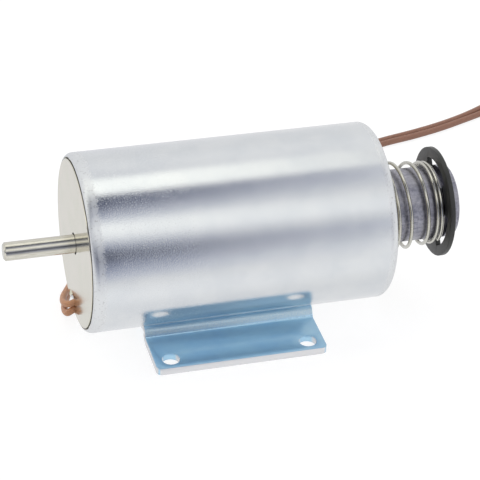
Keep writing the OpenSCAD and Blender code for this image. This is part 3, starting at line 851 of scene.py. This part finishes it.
# %% A small kit for geometry tools
class Tool(Sheet):
    """A Geometry Nodes tree with named sizes, which ends as a plain mesh."""

    def __init__(self, name, sizes):
        super().__init__(bpy.data.node_groups.new(name, "GeometryNodeTree"))
        self.name, self.sizes, self.keys = name, sizes, {}
        for size in sizes:
            socket = self.tree.interface.new_socket(name=size, in_out="INPUT",
                socket_type="NodeSocketFloat")
            self.keys[size] = socket.identifier
        self.tree.interface.new_socket(name="Geometry", in_out="OUTPUT",
            socket_type="NodeSocketGeometry")
        self.inlet = self.tree.nodes.new("NodeGroupInput")

    def size(self, name):
        return Wire(self, self.inlet.outputs[name])

    def line(self, count):
        """A straight line of count points, to be bent by moved()."""
        points = self.add("GeometryNodeMeshLine", {"mode": "OFFSET"}, {"Count": count,
            "Offset": (MM, 0, 0)})
        return self.add("GeometryNodeMeshToCurve", None, {0: points})

    def along(self):
        return self.add("GeometryNodeSplineParameter", out="Factor")

    def moved(self, shape, x, y, z):
        place = self.add("ShaderNodeCombineXYZ", None, {0: x, 1: y, 2: z})
        return self.add("GeometryNodeSetPosition", None, {"Geometry": shape, "Position": place})

    def wire(self, curve, radius, sides):
        """A round wire along a curve."""
        ring = self.add("GeometryNodeCurvePrimitiveCircle", None, {"Resolution": sides,
            "Radius": radius})
        return self.add("GeometryNodeCurveToMesh", None, {"Curve": curve, "Profile Curve": ring,
            "Fill Caps": True})

    def baked(self, shape, material):
        real = self.add("GeometryNodeRealizeInstances", None, {0: shape})
        smooth = self.add("GeometryNodeSetShadeSmooth", None, {0: real})
        last = self.add("GeometryNodeSetMaterial", None, {0: smooth, "Material": material})
        self.tree.links.new(last.socket, self.tree.nodes.new("NodeGroupOutput").inputs[0])
        piece = bpy.data.objects.new(self.name, bpy.data.meshes.new(self.name))
        bpy.context.scene.collection.objects.link(piece)
        step = piece.modifiers.new("tool", "NODES")
        step.node_group = self.tree
        for size, value in self.sizes.items():
            step[self.keys[size]] = value
        return applied(piece)


# %% The return spring
WIRE_D = 0.8 * MM
SPRING_TURNS, SPRING_END = 5.6, 130
BIG_R, SMALL_R = 9.9 * MM, 8.6 * MM
SPRING_POINTS, SPRING_SIDES = 420, 14
KNOTS = [(0, 0), (0.36, 0.05), (1.36, 0.267), (2.36, 0.454), (3.36, 0.735), (4.36, 0.897),
    (5.36, 0.963), (SPRING_TURNS, 1)]
spring_lo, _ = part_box("return_spring")


def coiled_spring():
    tool = Tool("coil_spring", {"Seat": spring_lo.x + WIRE_D / 2,
        "Ring": ring_lo.x - WIRE_D / 2, "Big radius": BIG_R, "Small radius": SMALL_R,
        "Turns": SPRING_TURNS, "End angle": math.radians(SPRING_END), "Height": AXIS_Z,
        "Wire radius": WIRE_D / 2})
    t = tool.along()
    share = tool.add("ShaderNodeFloatCurve",
        {"knots": [(turns / SPRING_TURNS, s) for turns, s in KNOTS]}, {1: t})
    turn = tool.size("End angle") + (t - 1) * tool.size("Turns") * (2 * math.pi)
    radius = tool.size("Big radius") + share * (tool.size("Small radius") - tool.size("Big radius"))
    x = tool.size("Seat") + share * (tool.size("Ring") - tool.size("Seat"))
    helix = tool.moved(tool.line(SPRING_POINTS), x, -(radius * turn.maths("SINE", turn)),
        tool.size("Height") + radius * turn.maths("COSINE", turn))
    wire = tool.wire(helix, tool.size("Wire radius"), SPRING_SIDES)
    return tool.baked(wire, FINISHES["spring_wire"])


spring = settle(coiled_spring(), "return_spring")

# %% [markdown]
# A thread is the same rule with a tighter pitch. This one lines the tapped hole in the plunger's
# outer end, where a link is screwed in.

# %% The thread in the plunger
PITCH, RIDGE, THREAD_OUT = 0.8 * MM, 0.28 * MM, 0.7 * MM
THREAD_POINTS, THREAD_SIDES = 340, 6


def thread_ridge():
    tool = Tool("pull_thread", {"Start": plunger_hi.x - TAP_DEPTH + PITCH,
        "End": plunger_hi.x - THREAD_OUT, "Radius": TAP_R + RIDGE, "Pitch": PITCH,
        "Height": AXIS_Z, "Ridge": RIDGE})
    t = tool.along()
    span = tool.size("End") - tool.size("Start")
    turn = t * span / tool.size("Pitch") * (2 * math.pi)
    helix = tool.moved(tool.line(THREAD_POINTS), tool.size("Start") + t * span,
        -(tool.size("Radius") * turn.maths("SINE", turn)),
        tool.size("Height") + tool.size("Radius") * turn.maths("COSINE", turn))
    ridge = tool.wire(helix, tool.size("Ridge"), THREAD_SIDES)
    return tool.baked(ridge, FINISHES["plunger_steel"])


thread = thread_ridge()
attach(thread, BODY_OF["plunger"])
print("thread:", len(thread.data.polygons), "faces")

# %% [markdown]
# The stripped ends of the leads show seven fine strands, six twisted round one. The tool makes a
# line, copies it six times, and turns each copy by its number. The bundle is made along the axis
# and its mesh is then carried to the end of each lead.

# %% The bare ends
STRIP = 6 * MM
STRAND_D = 0.26 * MM
TWIST, SPREAD = 280, 0.15
OUTER_STRANDS, STRAND_POINTS, STRAND_SIDES = 6, 24, 8


def strands(name, path):
    tool = Tool(name, {"Strand": STRAND_D, "Length": STRIP, "Twist": math.radians(TWIST)})
    copies = tool.add("GeometryNodeDuplicateElements", {"domain": "SPLINE"},
        {"Geometry": tool.line(STRAND_POINTS), "Amount": OUTER_STRANDS})
    number = Wire(tool, copies.socket.node.outputs["Duplicate Index"])
    t = tool.along()
    turn = number * math.radians(360 / OUTER_STRANDS) + t * tool.size("Twist")
    out = tool.size("Strand") * (1.0 + t * t * SPREAD)
    outer = tool.moved(copies, t * tool.size("Length"), out * turn.maths("COSINE", turn),
        out * turn.maths("SINE", turn))
    inner = tool.moved(tool.line(3), tool.along() * tool.size("Length"), 0.0, 0.0)
    both = tool.add("GeometryNodeJoinGeometry", None, {0: outer})
    tool.tree.links.new(inner.socket, both.socket.node.inputs[0])
    bundle = tool.wire(both, tool.size("Strand") / 2, STRAND_SIDES)
    piece = tool.baked(bundle, FINISHES["tinned_copper"])
    ahead = (path[-1] - path[-2]).normalized()
    side = Vector((0, 0, 1)).cross(ahead).normalized()
    turned_to = Matrix((ahead, side, ahead.cross(side))).transposed().to_4x4()
    piece.data.transform(Matrix.Translation(path[-1]) @ turned_to)
    return piece


for name, path in paths.items():
    tip = strands(name + "_strands", path)
    settle(tip, "lead_tips")
    lead = settle(leads[name], name.replace("lead", "lead_wire"))
    round(length_of(path), 3)
    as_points(path)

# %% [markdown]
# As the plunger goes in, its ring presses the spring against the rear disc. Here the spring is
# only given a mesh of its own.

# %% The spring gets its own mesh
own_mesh(spring)

# %% [markdown]
# Bright metal is only as good as what it reflects. The studio is a tent of white cloth with a
# bright panel above, a panel in front and dark gaps between them, so the casing shows broad bands.
# The world gives that tent: its brightness follows the direction's turn about the object's axis,
# and the gaps are deeper towards the left. Each row below has the turn in degrees and the
# brightness towards the left, the middle and the right. The camera itself sees plain white.

# %% The studio tent
TENT = [(-180, 0.97, 0.96, 0.94), (-106, 0.85, 0.87, 0.89), (-70, 0.90, 0.91, 0.92),
    (-46, 0.97, 0.98, 0.98), (-34, 0.86, 0.97, 0.97), (-28, 0.92, 1.04, 0.95),
    (-25, 1.42, 1.38, 0.91), (-20, 1.47, 1.42, 0.89), (-7, 1.45, 1.42, 0.94),
    (-3, 1.22, 1.20, 0.90), (1, 0.08, 0.36, 0.81), (13, 0.12, 0.46, 0.81),
    (28, 0.58, 0.84, 0.88), (38, 1.22, 1.22, 0.95), (46, 1.26, 1.25, 1.03),
    (54, 1.02, 1.20, 1.07), (65, 0.36, 0.84, 0.91), (73, 0.07, 0.56, 0.80),
    (80, 0.07, 0.52, 0.79), (89, 0.28, 0.60, 0.87), (102, 0.60, 0.74, 1.03),
    (114, 0.92, 0.93, 1.04), (126, 1.08, 1.02, 1.04), (140, 1.07, 1.05, 1.02),
    (151, 1.02, 0.98, 0.95), (163, 1.00, 0.86, 0.94), (180, 0.97, 0.96, 0.94)]
BRIGHTEST = 1.5
LEFT_X, MIDDLE_X, RIGHT_X = 0.175, 0.232, 0.300
COOL_BELOW, COOL_RANGE, COOL_TINT = 0.9, 0.8, (-0.19, -0.08, 0.38)
WARM_ABOVE, WARM_RANGE, WARM_TINT = 1.1, 0.3, (0, 0, -0.06)


def tinted(level):
    """Gaps in the tent are bluish, and the brightest panel is slightly warm."""
    cool = min(max((COOL_BELOW - level) / COOL_RANGE, 0), 1)
    warm = min(max((level - WARM_ABOVE) / WARM_RANGE, 0), 1)
    return tuple(level * (1 + c * cool + w * warm) / BRIGHTEST
        for c, w in zip(COOL_TINT, WARM_TINT))


def studio_world():
    world = bpy.data.worlds.new("studio tent")
    bpy.context.scene.world = world
    world.use_nodes = True
    sky = Sheet(world.node_tree)
    towards = sky.add("ShaderNodeTexCoord", out="Generated")
    x, y, z = (sky.add("ShaderNodeSeparateXYZ", None, {0: towards}, out=k) for k in range(3))
    turn = (-y).maths("ARCTAN2", -y, z) / (2 * math.pi) + 0.5
    left, middle, right = (turn.ramp([((row[0] + 180) / 360, tinted(row[side])) for row in TENT])
        for side in (1, 2, 3))
    tent = sky.blend((x - LEFT_X) / (MIDDLE_X - LEFT_X), left, middle)
    tent = sky.blend((x - MIDDLE_X) / (RIGHT_X - MIDDLE_X), tent, right)
    seen = sky.add("ShaderNodeLightPath", out="Is Camera Ray")
    colour = sky.blend(seen, tent, (1, 1, 1))
    strength = BRIGHTEST - seen * (BRIGHTEST - 1)
    light = sky.add("ShaderNodeBackground", None, {0: colour, 1: strength})
    sky.add("ShaderNodeOutputWorld", None, {0: light})


studio_world()
print("tent panels:", len(TENT))

# %% [markdown]
# The floor is pale and plain. The camera sees it almost white, with the object's soft shadow;
# bounced light sees it as pale paper; and polished metal sees the white tent through it.

# %% The floor
FLOOR_HALF = 3.0
PAPER = (0.80, 0.80, 0.80)
FLOOR_Z = -0.01 * MM
GLOW, GLOW_SHARE = 1.27, 0.65


def floor_material():
    material = bpy.data.materials.new("floor_paper")
    material.use_nodes = True
    f = Sheet(material.node_tree)
    paper = f.add("ShaderNodeBsdfDiffuse", None, {"Color": PAPER})
    glow = f.add("ShaderNodeEmission", None, {"Color": (1, 1, 1), "Strength": GLOW})
    clear = f.add("ShaderNodeBsdfTransparent")
    seen = f.add("ShaderNodeLightPath", out="Is Camera Ray")
    shown = f.add("ShaderNodeMixShader", None, {0: seen * GLOW_SHARE, 1: paper, 2: glow})
    mirrored = f.add("ShaderNodeLightPath", out="Is Glossy Ray")
    both = f.add("ShaderNodeMixShader", None, {0: mirrored, 1: shown, 2: clear})
    f.add("ShaderNodeOutputMaterial", None, {0: both})
    return material


QUARTERS = (-1, -1), (1, -1), (1, 1), (-1, 1)
corners = [(s * FLOOR_HALF, t * FLOOR_HALF, FLOOR_Z) for s, t in QUARTERS]
floor = dressed(piece_from("floor", corners, [(0, 1, 2, 3)], recalc=False), floor_material())
bpy.context.scene.view_settings.view_transform = "Standard"
print("floor", FLOOR_HALF * 2, "m wide")
